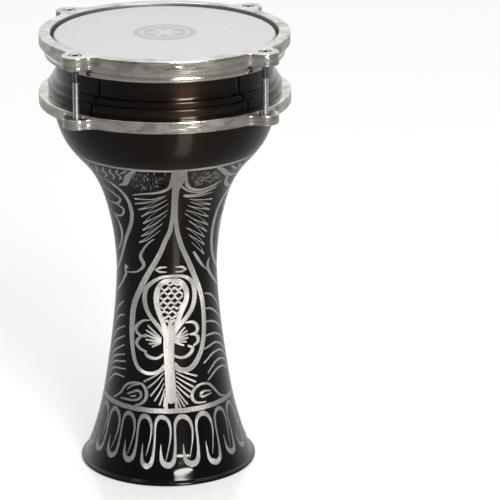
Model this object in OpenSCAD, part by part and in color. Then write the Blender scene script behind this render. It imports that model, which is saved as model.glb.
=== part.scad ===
// Goblet drum (darbuka): a spun aluminium shell, a plastic head in a flesh hoop,
// and two cast rings that four socket-head bolts draw together to tune the head.
// Millimetres, +Z up. The origin is the centre of the foot's rim, on the floor.

/* [Shell] */
// Height from the floor to the top face of the tension ring
drum_h = 417; // [412:1:430]
// Outer radius of the foot's rim
foot_r = 83; // [80:0.5:90]
// Outer radius of the waist, the narrowest part
waist_r = 47; // [42:0.5:50]
// Height of the waist
waist_z = 190; // [180:1:200]
// Outer radius at the top of the bowl, under the bead
bowl_r = 104; // [103:0.1:104.3]
// Wall thickness of the shell
wall = 2.6; // [2:0.1:3]
// Outer radius of the collar above the bead
collar_r = 100.3; // [99.5:0.1:100.8]

/* [Bead] */
// Outer radius of the bead's lower step
bead_r = 107.5; // [106:0.1:108.5]
// Outer radius of the bead's upper step
bead_step_r = 103.8; // [103:0.1:104.5]
// Height of the bead's lower step
bead_h = 9; // [8:0.5:10]
// Height of the bead's upper step
bead_step_h = 6; // [5:0.5:7]

/* [Head] */
// Thickness of the plastic film
film_t = 0.25; // [0.2:0.05:0.3]
// Depth of the film below the top face of the tension ring
film_depth = 2.2; // [1.8:0.1:3]
// Radius of the rolled bearing edge that the film bends over
bearing_roll_r = 2; // [1.8:0.1:2.2]
// Outer radius of the flesh hoop
flesh_r = 110; // [109.5:0.1:110.2]
// Inner radius of the flesh hoop
flesh_bore_r = 102.2; // [102:0.1:102.4]
// Height of the flesh hoop
flesh_h = 12; // [11:0.5:13]
// Wall thickness of the flesh hoop's channel
flesh_wall = 1.2; // [1:0.1:1.3]

/* [Tension ring] */
// Outer radius of the tension ring
hoop_r = 115; // [114.5:0.1:116]
// Radius of the playing opening
hoop_bore_r = 104.4; // [104.3:0.1:105]
// Height of the ring's outer wall
hoop_h = 11; // [10.5:0.1:12]
// Thickness of the flange that presses on the flesh hoop
flange_h = 9; // [8.8:0.1:9.5]
// Clearance between the flange's rebate and the flesh hoop
rebate_gap = 0.4; // [0.3:0.1:0.5]

/* [Support ring] */
// Outer radius of the support ring
support_r = 116; // [115:0.1:117]
// Clearance between the support ring and the shell
support_gap = 0.6; // [0.4:0.1:0.8]
// Height of the support ring
support_h = 11; // [10:0.5:12]
// Depth of its top face below the top face of the tension ring
support_depth = 55; // [53:0.5:56]

/* [Ears] */
// Radius of the circle that the bolts stand on
bolt_circle_r = 119.3; // [118.5:0.1:120.5]
// Angle of the first back ear from the X axis
ear_angle = 48.4; // [40:0.1:50]
// Radius of an ear
ear_r = 12.6; // [11.5:0.1:13]
// Height of an ear on the tension ring
hoop_ear_h = 11.7; // [11:0.1:12.5]
// Height of an ear on the support ring
support_ear_h = 9.2; // [8.5:0.1:10]
// Radius of the concave blend between ear and tension ring
hoop_blend_r = 9; // [6:0.5:12]
// Radius of the concave blend between ear and support ring
support_blend_r = 14; // [8:0.5:18]

/* [Bolts] */
// Thread diameter of a bolt
thread_d = 6; // [6:0.1:6.2]
// Length of a bolt under its head
bolt_l = 60; // [58:0.5:62]
// Diameter of the reduced shank
shank_d = 5.3; // [5.1:0.1:5.5]
// Length of the reduced shank
shank_l = 18.4; // [16:0.1:20]
// Diameter of the cylindrical head
head_d = 10; // [9.8:0.1:10.4]
// Height of the head
head_h = 6; // [5.8:0.1:6]
// Width across the flats of the hex socket
socket_af = 5; // [4.8:0.1:5.2]
// Depth of the hex socket
socket_depth = 3; // [2.5:0.1:3.5]
// Outer diameter of a washer
washer_d = 11; // [10.6:0.1:12]
// Thickness of a washer
washer_t = 1.6; // [1.4:0.1:1.6]

/* [Hidden] */
$fn = 96;
eps = 0.01;

// Colours as they look: dark lacquer, white film, plated rings, zinc bolts
lacquer = [0.07, 0.055, 0.05];
film_white = [0.9, 0.91, 0.93];
raw_aluminium = [0.72, 0.71, 0.68];
resin_amber = [0.25, 0.22, 0.17];
nickel = [0.76, 0.75, 0.71];
zinc = [0.66, 0.7, 0.71];

// Heights of the faces that the pieces meet on
film_top_z = drum_h - film_depth;
bearing_z = film_top_z - film_t;
flesh_top_z = drum_h - flange_h;
flesh_bottom_z = flesh_top_z - flesh_h;
support_top_z = drum_h - support_depth;
support_bottom_z = support_top_z - support_h;
bead_top_z = support_top_z + bead_h;
step_top_z = bead_top_z + bead_step_h;

// Holes for the bolts
thread_hole_r = thread_d / 2 + 0.05;
clear_hole_r = thread_d / 2 + 0.3;
counterbore_r = washer_d / 2 + 0.25;
counterbore_depth = head_h + washer_t + 0.2;
washer_z = drum_h - counterbore_depth;
head_z = washer_z + washer_t;
socket_r = socket_af / 2 / cos(30);
blend_lap = 0.1;

// The shell's outline below the bead, as heights and radii: the foot flares out
// from the waist, and the bowl swells above it. foot_edge_z is where it meets the rim.
foot_edge_z = 4.4;
shell_line = [
    [foot_edge_z, foot_r - 4.2], [14, foot_r - 7.4], [28, foot_r - 12.5],
    [58, waist_r + 15.6], [98, waist_r + 8.8], [145, waist_r + 2.8],
    [waist_z, waist_r], [222, waist_r + 2.1], [246, waist_r + 6.5],
    [266, waist_r + 12.2], [282, waist_r + 19.6], [294, bowl_r - 29],
    [304, bowl_r - 20], [316, bowl_r - 11.2], [332, bowl_r - 4.6],
    [support_bottom_z, bowl_r - 0.6], [support_top_z, bowl_r]
];
shell_steps = 64;

// Slope of the outline at point i, from the points on either side of it
function slope(p, i) =
    let (a = p[max(i - 1, 0)], b = p[min(i + 1, len(p) - 1)])
    (b[1] - a[1]) / (b[0] - a[0]);

// Index of the span of p that holds height z
function span(p, z, i = 0) =
    i >= len(p) - 2 || z <= p[i + 1][0] ? i : span(p, z, i + 1);

// Radius and slope of the cubic through p at height z
function line_radius(p, z) =
    let (i = span(p, z), h = p[i + 1][0] - p[i][0], t = (z - p[i][0]) / h)
    p[i][1] * (1 + 2 * t) * pow(1 - t, 2) + slope(p, i) * h * t * pow(1 - t, 2)
    + p[i + 1][1] * t * t * (3 - 2 * t) - slope(p, i + 1) * h * t * t * (1 - t);
function line_slope(p, z) = (line_radius(p, z + eps) - line_radius(p, z - eps)) / (2 * eps);

// Point of the wall's inner face opposite the outer face at height z
function inner_point(p, z) =
    let (s = line_slope(p, z), n = sqrt(1 + s * s))
    [line_radius(p, z) - wall / n, z + wall * s / n];

shell_zs = [for (i = [0:shell_steps])
    foot_edge_z + (support_top_z - foot_edge_z) * i / shell_steps];

// Points of an arc around c, from angle a to angle b
function arc(c, r, a, b, n = 8) =
    [for (i = [0:n]) let (t = a + (b - a) * i / n) [c[0] + r * cos(t), c[1] + r * sin(t)]];

// The bearing edge is rolled outwards, and the film leaves the roll along a cone
// that passes just outside the flesh hoop's inner lip
roll_c = [collar_r + 1.1 - bearing_roll_r, bearing_z - bearing_roll_r];
lip_r = flesh_bore_r + flesh_wall + 0.15;
to_lip = [lip_r - roll_c[0], flesh_top_z - roll_c[1]];
cone_dir = atan2(to_lip[1], to_lip[0]) - asin(bearing_roll_r / norm(to_lip));
roll_leave = cone_dir + 90;
film_root_z = flesh_bottom_z + 3.5;
bend_gap = 0.03;

// Where the film's cone, at distance d from the roll's centre, crosses height z
function cone_r(d, z) =
    let (x = roll_c[0] + d * cos(roll_leave), y = roll_c[1] + d * sin(roll_leave))
    x + (z - y) / tan(cone_dir);

// Outline of the rolled rim of the foot, flat underneath
rim_r = 1.7;
rim_outline = concat(
    [[foot_r - 4.8, 0]],
    arc([foot_r - rim_r, rim_r], rim_r, -90, 90),
    [[foot_r - 3, 2 * rim_r + 0.1], [shell_line[0][1], foot_edge_z]]);

// Outline of the bead and collar outside, from the ledge on the support ring to the
// roll, and inside, from the collar down to the bead
collar_outer = concat(
    [[bead_r, support_top_z]],
    arc([bead_r - 1.2, bead_top_z - 1.2], 1.2, 0, 60, 4),
    [[bead_step_r + 0.8, bead_top_z + 0.8]],
    arc([bead_step_r - 1.4, step_top_z - 1.4], 1.4, 0, 65, 4),
    [[collar_r + 0.5, step_top_z + 1], [collar_r, step_top_z + 3]],
    [[collar_r, roll_c[1] - bearing_roll_r]]);
collar_inner = [
    [collar_r - wall, step_top_z + 1.6],
    [bead_step_r - wall, step_top_z - 2.2], [bead_step_r - wall + 0.6, bead_top_z - 0.4],
    [bead_r - wall, bead_top_z - 2.6], [bead_r - wall, support_top_z + wall]];

// The whole drum shell: foot rim, flare, waist, bowl, bead, collar and bearing edge
module goblet_shell() color(lacquer) rotate_extrude() polygon(concat(
    rim_outline,
    [for (i = [1:shell_steps]) [line_radius(shell_line, shell_zs[i]), shell_zs[i]]],
    collar_outer,
    arc(roll_c, bearing_roll_r, -60, 150, 12),
    collar_inner,
    [for (i = [shell_steps:-1:1]) inner_point(shell_line, shell_zs[i])],
    [[foot_r - 6.6, foot_edge_z], [foot_r - 5.4, 1]]));

// The head: a flat film, bent over the bearing edge and down into the channel
module drumhead_film() color(film_white) rotate_extrude() polygon(concat(
    [[0, bearing_z]],
    arc(roll_c, bearing_roll_r + bend_gap, 90, roll_leave),
    [[cone_r(bearing_roll_r + bend_gap, film_root_z), film_root_z]],
    [[cone_r(bearing_roll_r + film_t, film_root_z), film_root_z]],
    arc(roll_c, bearing_roll_r + film_t, roll_leave, 90),
    [[0, film_top_z]]));

// Aluminium channel, open upwards, with a groove and a rounded lip outside
module flesh_hoop() color(raw_aluminium) rotate_extrude() polygon([
    [flesh_bore_r, flesh_top_z], [flesh_bore_r, flesh_bottom_z + 1.2],
    [flesh_bore_r + 1.2, flesh_bottom_z], [flesh_r - 1.4, flesh_bottom_z],
    [flesh_r - 0.4, flesh_bottom_z + 0.4], [flesh_r, flesh_bottom_z + 1.4],
    [flesh_r, flesh_bottom_z + 4.6], [flesh_r - 0.6, flesh_bottom_z + 5.2],
    [flesh_r - 0.6, flesh_bottom_z + 6.2], [flesh_r, flesh_bottom_z + 6.8],
    [flesh_r, flesh_top_z], [flesh_r - flesh_wall, flesh_top_z],
    [flesh_r - flesh_wall, flesh_bottom_z + 2], [flesh_bore_r + flesh_wall, flesh_bottom_z + 2],
    [flesh_bore_r + flesh_wall, flesh_top_z]]);

// Cured resin that fills the channel around the film's edge
module hoop_resin() color(resin_amber) difference() {
    rotate_extrude() translate([flesh_bore_r + flesh_wall, flesh_bottom_z + 2])
        square([flesh_r - flesh_bore_r - 2 * flesh_wall, flesh_h - 3]);
    drumhead_film();
}

// Turns what it is given to the four ears
module at_ear(i) rotate([0, 0, ear_angle + 90 * i]) translate([bolt_circle_r, 0, 0]) children();

// Flat outline of an ear at angle 0, blended into a ring of radius ring_r. The
// blends bite blend_lap into ring and ear, so that the outlines cross cleanly.
module ear_outline(ring_r, blend_r) {
    reach = ring_r - blend_lap + blend_r;
    ear_reach = ear_r - blend_lap + blend_r;
    side = acos((reach * reach + bolt_circle_r * bolt_circle_r - ear_reach * ear_reach)
        / (2 * reach * bolt_circle_r));
    blend_c = [reach * cos(side), reach * sin(side)];
    root = blend_c * (ring_r - 4) / reach;
    translate([bolt_circle_r, 0]) circle(r = ear_r);
    difference() {
        polygon([root, blend_c, [bolt_circle_r, 0],
                 [blend_c[0], -blend_c[1]], [root[0], -root[1]]]);
        translate(blend_c) circle(r = blend_r);
        translate([blend_c[0], -blend_c[1]]) circle(r = blend_r);
    }
}

// A ring of outer radius ring_r and height h with its top at top_z, and four ears
// of height ear_h that start ear_drop below its top
module eared_ring(ring_r, h, top_z, ear_h, ear_drop, blend_r) {
    translate([0, 0, top_z - h]) cylinder(h = h, r = ring_r);
    for (i = [0:3]) rotate([0, 0, ear_angle + 90 * i])
        translate([0, 0, top_z - ear_drop - ear_h])
            linear_extrude(height = ear_h) ear_outline(ring_r, blend_r);
}

// Cast ring that presses the flesh hoop down, with a counterbored hole in each ear
module tension_hoop() color(nickel) difference() {
    eared_ring(hoop_r, hoop_h, drum_h, hoop_ear_h, 0, hoop_blend_r);
    translate([0, 0, drum_h - 20]) cylinder(h = 40, r = hoop_bore_r);
    translate([0, 0, flesh_top_z - 20]) cylinder(h = 20, r = flesh_r + rebate_gap);
    for (i = [0:3]) at_ear(i) {
        translate([0, 0, washer_z]) cylinder(h = counterbore_depth + 1, r = counterbore_r);
        translate([0, 0, drum_h - 20]) cylinder(h = 30, r = clear_hole_r);
    }
}

// Cast ring under the bead, with a tapped hole in each ear
module lower_ring() color(nickel) difference() {
    eared_ring(support_r, support_h, support_top_z, support_ear_h,
        support_h - support_ear_h, support_blend_r);
    translate([0, 0, support_bottom_z - 1]) cylinder(h = support_h + 2, r = bowl_r + support_gap);
    for (i = [0:3]) at_ear(i)
        translate([0, 0, support_bottom_z - 1]) cylinder(h = support_h + 2, r = thread_hole_r);
}

// Socket-head bolt in ear i: head, reduced shank and thread with a chamfered end
module tension_bolt(i) color(zinc) at_ear(i) difference() {
    rotate_extrude() polygon([
        [0, head_z - bolt_l], [thread_d / 2 - 0.9, head_z - bolt_l],
        [thread_d / 2, head_z - bolt_l + 0.9], [thread_d / 2, head_z - shank_l - 0.35],
        [shank_d / 2, head_z - shank_l], [shank_d / 2, head_z],
        [head_d / 2, head_z], [head_d / 2, head_z + head_h - 0.5],
        [head_d / 2 - 0.5, head_z + head_h], [0, head_z + head_h]]);
    translate([0, 0, head_z + head_h - socket_depth])
        cylinder(h = socket_depth + 1, r = socket_r, $fn = 6);
}

// Flat washer under the head of bolt i
module bolt_washer(i) color(zinc) at_ear(i) translate([0, 0, washer_z]) difference() {
    cylinder(h = washer_t, r = washer_d / 2);
    translate([0, 0, -1]) cylinder(h = washer_t + 2, r = clear_hole_r);
}

// Bolts and washers count anticlockwise from the ear at the front right
goblet_shell();
drumhead_film();
flesh_hoop();
hoop_resin();
tension_hoop();
lower_ring();
tension_bolt(3);  // bolt_1
tension_bolt(0);  // bolt_2
tension_bolt(1);  // bolt_3
tension_bolt(2);  // bolt_4
bolt_washer(3);  // washer_1
bolt_washer(0);  // washer_2
bolt_washer(1);  // washer_3
bolt_washer(2);  // washer_4
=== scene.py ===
"""Looks of a goblet drum (darbuka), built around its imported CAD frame.

The shell is one closed mesh whose engraving is cut into it. Lengths in the building
functions are millimetres, and mesh_object() turns them into metres. phi is the angle
round the drum in degrees, 0 at the front (-Y) and growing towards +X. A shape is a
pair of vertices and faces.
"""

import math
import random

import bmesh
import bpy
import numpy as np
from mathutils import Matrix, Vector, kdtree
from mathutils.geometry import delaunay_2d_cdt


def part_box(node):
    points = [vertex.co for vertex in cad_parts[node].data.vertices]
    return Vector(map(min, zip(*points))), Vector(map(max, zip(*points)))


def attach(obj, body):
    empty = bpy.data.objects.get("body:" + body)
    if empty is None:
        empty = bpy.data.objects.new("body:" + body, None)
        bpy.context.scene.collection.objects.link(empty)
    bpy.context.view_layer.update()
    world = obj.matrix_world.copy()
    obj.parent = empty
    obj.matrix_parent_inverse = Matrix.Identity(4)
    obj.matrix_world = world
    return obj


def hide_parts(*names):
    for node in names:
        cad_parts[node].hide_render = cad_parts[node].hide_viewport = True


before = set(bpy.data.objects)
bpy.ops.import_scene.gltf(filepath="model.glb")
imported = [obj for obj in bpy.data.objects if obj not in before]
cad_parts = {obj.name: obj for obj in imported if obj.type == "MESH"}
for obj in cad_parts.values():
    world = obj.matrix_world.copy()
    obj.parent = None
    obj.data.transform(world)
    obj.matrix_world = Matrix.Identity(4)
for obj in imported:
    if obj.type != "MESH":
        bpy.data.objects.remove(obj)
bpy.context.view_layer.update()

MM = 0.001
WELD = 1e-6       # metres, within which the points of a cut mesh become one
DRUM_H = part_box("tension_hoop")[1].z / MM
SUPPORT_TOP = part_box("lower_ring")[1].z / MM
FLESH_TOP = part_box("flesh_hoop")[1].z / MM
FLESH_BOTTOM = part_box("flesh_hoop")[0].z / MM
FILM_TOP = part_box("drumhead_film")[1].z / MM
WASHER_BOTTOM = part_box("washer_1")[0].z / MM
HEAD_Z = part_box("washer_1")[1].z / MM
BOLT_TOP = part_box("bolt_1")[1].z / MM
BOLT_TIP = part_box("bolt_1")[0].z / MM


# ---------------------------------------------------------------- mesh helpers

def new_object(name, data):
    """An object for some data, in the scene."""
    obj = bpy.data.objects.new(name, data)
    bpy.context.scene.collection.objects.link(obj)
    return obj


def smooth(mesh, sharp):
    """Shades a mesh smooth, but sharp where faces meet at more than `sharp` degrees."""
    mesh.polygons.foreach_set("use_smooth", [True] * len(mesh.polygons))
    mesh.set_sharp_from_angle(angle=math.radians(sharp))


def mesh_object(name, shape, materials, face_material=None, sharp=32):
    """A smooth-shaded object from a shape in millimetres."""
    mesh = bpy.data.meshes.new(name)
    mesh.from_pydata([tuple(c * MM for c in v) for v in shape[0]], [], shape[1])
    for material in materials:
        mesh.materials.append(material)
    if face_material is not None:
        mesh.polygons.foreach_set("material_index", face_material)
    smooth(mesh, sharp)
    mesh.update()
    return new_object(name, mesh)


def applied(obj):
    """Bakes an object's modifiers into its mesh."""
    graph = bpy.context.evaluated_depsgraph_get()
    mesh = bpy.data.meshes.new_from_object(obj.evaluated_get(graph))
    obj.modifiers.clear()
    old, obj.data = obj.data, mesh
    bpy.data.meshes.remove(old)
    return obj


def cut(obj, others, operation):
    """Joins obj with other closed meshes, or takes them out of it, and removes them."""
    for other in others:
        modifier = obj.modifiers.new("cut", "BOOLEAN")
        modifier.object = other
        modifier.operation = operation
        modifier.solver = "EXACT"
    applied(obj)
    for other in others:
        bpy.data.objects.remove(other)


def finished(obj, name, sharp=34):
    """Cleans a mesh after cutting, and gives it even normals on flats and rounds."""
    mesh = obj.data
    mesh.name = obj.name = name
    welded = bmesh.new()
    welded.from_mesh(mesh)
    bmesh.ops.remove_doubles(welded, verts=welded.verts, dist=WELD)
    bmesh.ops.dissolve_degenerate(welded, edges=welded.edges, dist=WELD)
    bmesh.ops.triangulate(welded, faces=[f for f in welded.faces if len(f.verts) > 4])
    welded.to_mesh(mesh)
    welded.free()
    for attribute in ("sharp_edge", "custom_normal"):
        if attribute in mesh.attributes:
            mesh.attributes.remove(mesh.attributes[attribute])
    smooth(mesh, sharp)
    weighted = obj.modifiers.new("normals", "WEIGHTED_NORMAL")
    weighted.keep_sharp = True
    weighted.weight = 80
    return applied(obj)


def revolve(profile, n, closed=True):
    """The shape of a profile of (r, z) points turned round the Z axis in n steps.

    The profile runs anticlockwise seen with r to the right and z up. A point on the
    axis becomes a single pole."""
    verts, rows = [], []
    for r, z in profile:
        if r < 1e-9:
            rows.append([len(verts)] * n)
            verts.append((0, 0, z))
            continue
        rows.append(list(range(len(verts), len(verts) + n)))
        verts += [(r * math.cos(a), r * math.sin(a), z)
                  for a in (2 * math.pi * k / n for k in range(n))]
    faces = []
    for low, high in list(zip(rows, rows[1:])) + ([(rows[-1], rows[0])] if closed else []):
        if low[0] == low[1] and high[0] == high[1]:
            continue
        for k in range(n):
            m = (k + 1) % n
            faces.append(tuple(dict.fromkeys([low[k], low[m], high[m], high[k]])))
    return verts, faces


def arc(c, r, a, b, n=6):
    """Points of an arc round c from angle a to angle b, in degrees."""
    return [(c[0] + r * math.cos(math.radians(t)), c[1] + r * math.sin(math.radians(t)))
            for t in (a + (b - a) * k / n for k in range(n + 1))]


def moved(shape, x, y, turn=0.0):
    """A shape turned by an angle in degrees round Z, then moved."""
    c, s = math.cos(math.radians(turn)), math.sin(math.radians(turn))
    return [(v[0] * c - v[1] * s + x, v[0] * s + v[1] * c + y, v[2]) for v in shape[0]], shape[1]


# ---------------------------------------------------------------- materials

class Nodes:
    """Builds up one node tree. A node's inputs are sockets, or numbers to keep in them."""

    def __init__(self, tree):
        self.tree = tree

    def add(self, kind, inputs={}, **settings):
        """A new shader node with some properties, and inputs by name or number."""
        made = self.tree.nodes.new("ShaderNode" + kind)
        for key, value in settings.items():
            setattr(made, key, value)
        return self.feed(made, inputs)

    def feed(self, made, inputs):
        for key, value in inputs.items():
            if isinstance(value, bpy.types.NodeSocket):
                self.tree.links.new(value, made.inputs[key])
            else:
                made.inputs[key].default_value = value
        return made

    def maths(self, operation, *values):
        return self.add("Math", dict(enumerate(values)), operation=operation).outputs[0]

    def scaled(self, value, by, plus):
        """value * by + plus."""
        return self.maths("MULTIPLY_ADD", value, by, plus)

    def xyz(self, vector):
        return self.add("SeparateXYZ", {0: vector}).outputs

    def coordinates(self, kind="Object"):
        return self.add("TexCoord").outputs[kind]

    def ramp(self, factor, *stops):
        """A colour ramp over a factor, from (position, red, green, blue) stops."""
        made = self.add("ValToRGB", {0: factor})
        elements = made.color_ramp.elements
        while len(elements) < len(stops):
            elements.new(0.5)
        for element, (position, *colour) in zip(elements, stops):
            element.position = position
            element.color = (*colour, 1)
        return made.outputs[0]

    def noise(self, scale, detail=3, stretch=(1, 1, 1)):
        """Noise over the object's own coordinates, from 0 to 1."""
        mapping = self.add("Mapping", {0: self.coordinates(), "Scale": stretch})
        return self.add("TexNoise", {"Scale": scale, "Detail": detail,
                                     "Vector": mapping.outputs[0]}).outputs["Fac"]

    def mix(self, factor, a, b, **settings):
        """Colour b over colour a by a factor."""
        return self.add("Mix", {0: factor, 6: a, 7: b}, data_type="RGBA", **settings).outputs[2]


class Look(Nodes):
    """A Principled material. Its inputs are named with _ for a space."""

    def __init__(self, name, **constants):
        self.material = bpy.data.materials.new(name)
        self.material.use_nodes = True
        super().__init__(self.material.node_tree)
        self.set(**constants)

    def set(self, **inputs):
        self.feed(self.tree.nodes["Principled BSDF"],
                  {key.replace("_", " "): value for key, value in inputs.items()})

    def bump(self, height, strength, distance):
        """Bumps the surface by a height socket, over a distance in metres."""
        self.set(Normal=self.add("Bump", {"Strength": strength, "Distance": distance,
                                          "Height": height}).outputs[0])
        return self.material


def lacquer():
    """Lacquer over spun aluminium, brown at the top and black at the foot. The spinning
    marks under the clear coat run round the drum, so they stretch a highlight up and down."""
    look = Look("dark_lacquer", Metallic=1.0, Roughness=0.42, Anisotropic=0.9,
                Anisotropic_Rotation=0.25, Coat_Weight=1.0, Coat_Roughness=0.06, Coat_IOR=1.36)
    height = look.xyz(look.coordinates())[2]
    blotch = look.scaled(look.noise(26, 4), 0.2, look.scaled(height, 2.2, -0.1))
    look.set(Base_Color=look.ramp(blotch, (0.1, 0.0020, 0.0016, 0.0013),
                                  (0.5, 0.0062, 0.0040, 0.0027),
                                  (0.85, 0.0130, 0.0068, 0.0037)),
             Roughness=look.scaled(look.noise(90, 5), 0.1, 0.37),
             Tangent=look.add("Tangent", direction_type="RADIAL", axis="Z").outputs[0])
    return look.bump(look.noise(420, 2), 0.05, 0.0003)


def engraved(name, wiggle, bright, rough):
    """Bare aluminium at the bottom of the engraving, its colour darkened at the foot as painted
    shade. The UV map holds millimetres along and across a stroke, and the graver's wiggle is a
    zigzag of fine ridges in it."""
    look = Look(name, Metallic=0.95, Roughness=rough)
    along, across, _ = look.xyz(look.add("UVMap", uv_map="cut").outputs[0])
    phase = look.maths("PINGPONG", across, 0.9)
    ridge = look.maths("PINGPONG", look.maths("ADD", along, phase), wiggle)
    ridge = look.maths("DIVIDE", ridge, wiggle)
    shade = look.scaled(look.noise(750), 0.9, look.scaled(ridge, 0.4, -0.18))
    grain = look.ramp(shade, (0.22, *(c * 0.5 for c in bright)), (0.62, *bright))
    # Painted shade: darkens the engraving's colour below 0.11 m, towards the foot
    painted_foot_shade = look.ramp(look.xyz(look.coordinates())[2], (0.06, 0.66, 0.66, 0.67), (0.11, 1, 1, 1))
    look.set(Base_Color=look.mix(1.0, grain, painted_foot_shade, blend_type="MULTIPLY"))
    return look.bump(ridge, 0.7, 0.00025)


def plated():
    """Nickel over a polished casting: slightly wavy, a little warm, with faint haze. Its colour
    streaks are partly plating tone and partly painted reflection.
    """
    look = Look("plated_nickel", Metallic=1.0, Roughness=0.14)
    # Painted reflection: the light and dark colour streaks, stretched round the ring, partly stand
    # in for the wavy casting's reflections
    look.set(Base_Color=look.ramp(look.noise(60, 5, (1, 1, 2.5)), (0.3, 0.36, 0.335, 0.285),
                                  (0.5, 0.63, 0.61, 0.56), (0.7, 0.80, 0.785, 0.75)),
             Roughness=look.scaled(look.noise(140, 6), 0.16, 0.07))
    waves = look.noise(30, 3, (1, 1, 3.0))
    return look.bump(look.scaled(look.noise(900, 2), 0.03, waves), 0.65, 0.0023)


def patchy(name, dark, light, rough, patch, marks, depth, spread=0.0, metallic=1.0):
    """A surface with patches of two colours, and of roughness by `spread`, and fine marks."""
    look = Look(name, Metallic=metallic, Roughness=rough)
    patches = look.noise(*patch)
    look.set(Base_Color=look.ramp(patches, (0.3, *dark), (0.7, *light)))
    if spread:
        look.set(Roughness=look.scaled(patches, spread, rough - spread / 2))
    return look.bump(look.noise(*marks), *depth)


def turned(name, colour, rough, lines):
    """Machined metal with fine turning lines round the drum's axis."""
    return patchy(name, [c * 0.8 for c in colour], colour, rough, (70, 4),
                  (lines, 3, (0.05, 0.05, 1)), (0.1, 0.0002))


def steel(name, colour, rough):
    """Zinc-plated or blackened steel, slightly mottled."""
    return patchy(name, [c * 0.72 for c in colour], colour, rough, (380, 5), (1500, 2),
                  (0.1, 0.0002), spread=0.14)


def film():
    """Coated white plastic with a printed grey disc that holds a plain rosette."""
    disc_r, ring_r, ring_half, petal_r, edge = 0.029, 0.0215, 0.0012, 0.016, 0.0003
    look = Look("coated_film", Roughness=0.38, Specular_IOR_Level=0.4)
    maths = look.maths
    x, y, _ = look.xyz(look.coordinates())
    radius = maths("SQRT", maths("ADD", maths("MULTIPLY", x, x), maths("MULTIPLY", y, y)))
    in_disc = maths("LESS_THAN", radius, disc_r)
    ring = maths("COMPARE", radius, ring_r, ring_half)
    petals = maths("ABSOLUTE", maths("COSINE", maths("MULTIPLY", maths("ARCTAN2", y, x), 3.0)))
    petal = maths("LESS_THAN", maths("ADD", radius, edge), maths("MULTIPLY", petals, petal_r))
    white = maths("MAXIMUM", ring, petal)
    ink = maths("MULTIPLY", in_disc, maths("SUBTRACT", 1.0, white))
    grain = look.noise(160, 5)
    base = look.ramp(grain, (0.3, 0.50, 0.507, 0.527), (0.7, 0.53, 0.537, 0.556))
    print_grey = look.ramp(grain, (0.3, 0.37, 0.374, 0.392), (0.7, 0.39, 0.394, 0.412))
    look.set(Base_Color=look.mix(ink, base, print_grey))
    return look.bump(look.noise(2600, 2), 0.12, 0.0001)


LACQUER = lacquer()
CUT = engraved("engraved_wiggle_cut", 0.55, (0.80, 0.795, 0.785), 0.42)
LINE = engraved("engraved_line_cut", 0.35, (0.84, 0.835, 0.825), 0.38)
NICKEL = plated()
ALUMINIUM = turned("turned_aluminium", (0.72, 0.70, 0.66), 0.13, 1500)
ZINC = steel("zinc_plate", (0.55, 0.59, 0.61), 0.36)
# The tension ring's bore: darker metal, partly unpolished casting and partly painted shade of the
# gap round the head
SHADED_BORE = steel("unpolished_shaded_bore", (0.30, 0.29, 0.285), 0.45)
STEEL = steel("dark_steel", (0.16, 0.17, 0.18), 0.3)
# The bare inside of the shell: dull aluminium with the marks of spinning
INSIDE = patchy("bare_inside", (0.22, 0.22, 0.215), (0.4, 0.395, 0.38), 0.5, (45, 6),
                (240, 4, (0.08, 0.08, 1)), (0.5, 0.0006), metallic=0.85)
FILM = film()
RESIN = turned("cured_resin", (0.2, 0.16, 0.1), 0.4, 600)

# ---------------------------------------------------------------- the shell's outline

# Heights and outer radii of the shell below the bead, as in the CAD source
SHELL_LINE = [(4.4, 78.8), (14, 75.6), (28, 70.5), (58, 62.6), (98, 55.8), (145, 49.8),
              (190, 47), (222, 49.1), (246, 53.5), (266, 59.2), (282, 66.6), (294, 75),
              (304, 84), (316, 92.8), (332, 99.4), (351, 103.4), (362, 104)]
WALL = 2.6
FOOT_R = 83
BEAD_R, STEP_R, COLLAR_R = 107.5, 103.8, 100.3
BEAD_TOP, STEP_TOP = 371, 377
ROLL_C, ROLL_R = (99.4, FILM_TOP - 2.25), 2.0      # the bearing edge


def slopes(values, at):
    """The slope at each point from its neighbours, or its one neighbour at an end."""
    v, a = (np.concatenate([x[:1], x, x[-1:]]) for x in (values, at))
    return ((v[2:] - v[:-2]).T / (a[2:] - a[:-2])).T


def cubic(a, b, slope_a, slope_b, h, t):
    """A cubic from a to b with given slopes over a length h, at share t of it."""
    return (a * (1 + 2 * t) * (1 - t) ** 2 + slope_a * h * t * (1 - t) ** 2
            + b * t * t * (3 - 2 * t) - slope_b * h * t * t * (1 - t))


LINE_Z, LINE_R = np.array(SHELL_LINE, float).T
LINE_SLOPES = slopes(LINE_R, LINE_Z)


def shell_r(z):
    """Outer radius of the shell at height z, by the CAD source's cubic."""
    z = np.asarray(z, float)
    i = np.clip(np.searchsorted(LINE_Z, z, "left") - 1, 0, len(LINE_Z) - 2)
    h = LINE_Z[i + 1] - LINE_Z[i]
    return cubic(LINE_R[i], LINE_R[i + 1], LINE_SLOPES[i], LINE_SLOPES[i + 1], h,
                 (z - LINE_Z[i]) / h)


def shell_slope(z):
    """How fast the radius grows with height."""
    z = np.clip(z, LINE_Z[0] + 0.02, LINE_Z[-1] - 0.02)
    return (shell_r(z + 0.01) - shell_r(z - 0.01)) / 0.02


def shell_normal(phi, z):
    """Outward unit normals of the shell at angles phi and heights z."""
    slope = shell_slope(z)
    n = np.sqrt(1 + slope * slope)
    a = np.radians(np.asarray(phi) - 90)
    return np.stack([np.cos(a) / n, np.sin(a) / n, -slope / n], -1)


# Distance along the outline at closely spaced heights
FINE_Z = np.linspace(LINE_Z[0], LINE_Z[-1], 4000)
FINE_S = np.concatenate([[0], np.cumsum(np.hypot(np.diff(FINE_Z), np.diff(shell_r(FINE_Z))))])


def s_of(z):
    """Distance along the outline up to height z."""
    return np.interp(z, FINE_Z, FINE_S)


def z_of(s):
    """Height at a distance along the outline."""
    return np.interp(s, FINE_S, FINE_Z)


# ---------------------------------------------------------------- the engraving

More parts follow.
